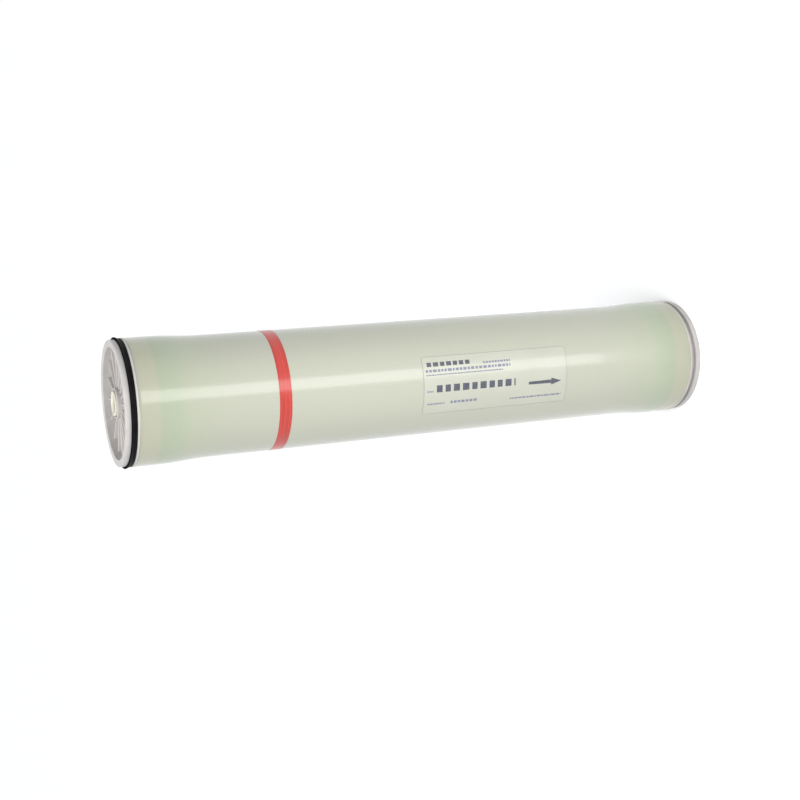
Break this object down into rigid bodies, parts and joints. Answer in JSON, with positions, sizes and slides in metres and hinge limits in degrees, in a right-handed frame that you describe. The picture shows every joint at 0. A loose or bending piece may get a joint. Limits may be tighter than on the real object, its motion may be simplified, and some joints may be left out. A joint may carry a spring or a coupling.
{
  "type": "spiral-wound reverse osmosis membrane element",
  "caption": "Long wound membrane cylinder in a glass fibre shell, with ribbed end caps, a central permeate tube, a rubber brine seal, a red band and a blank label.",
  "frame": {"origin": "centre of the concentrate end face, on the surface that the element stands on", "axes": "+Z along the permeate tube towards the feed end with the brine seal; the label faces -Y"},
  "size_m": [0.2044, 0.2044, 1.016],
  "materials": {
    "tube": "smooth",
    "carrier": "knitted",
    "membrane": "matte",
    "net": "matte",
    "cap": "moulded",
    "tape": "smooth",
    "shell": "wound glass fibre under clear resin",
    "seal": "smooth rubber",
    "band": "glossy tape",
    "label": "printed film"
  },
  "bodies": {
    "root": {"permeate_tube": "tube", "carrier_wrap": "carrier", "membrane_scroll": "membrane", "roll_wrap": "net", "feed_end_cap": "cap", "concentrate_end_cap": "cap", "feed_end_tape": "tape", "concentrate_end_tape": "tape", "fibreglass_shell": "shell", "brine_seal": "seal", "marker_band": "band", "label": "label"}
  },
  "joints": []
}
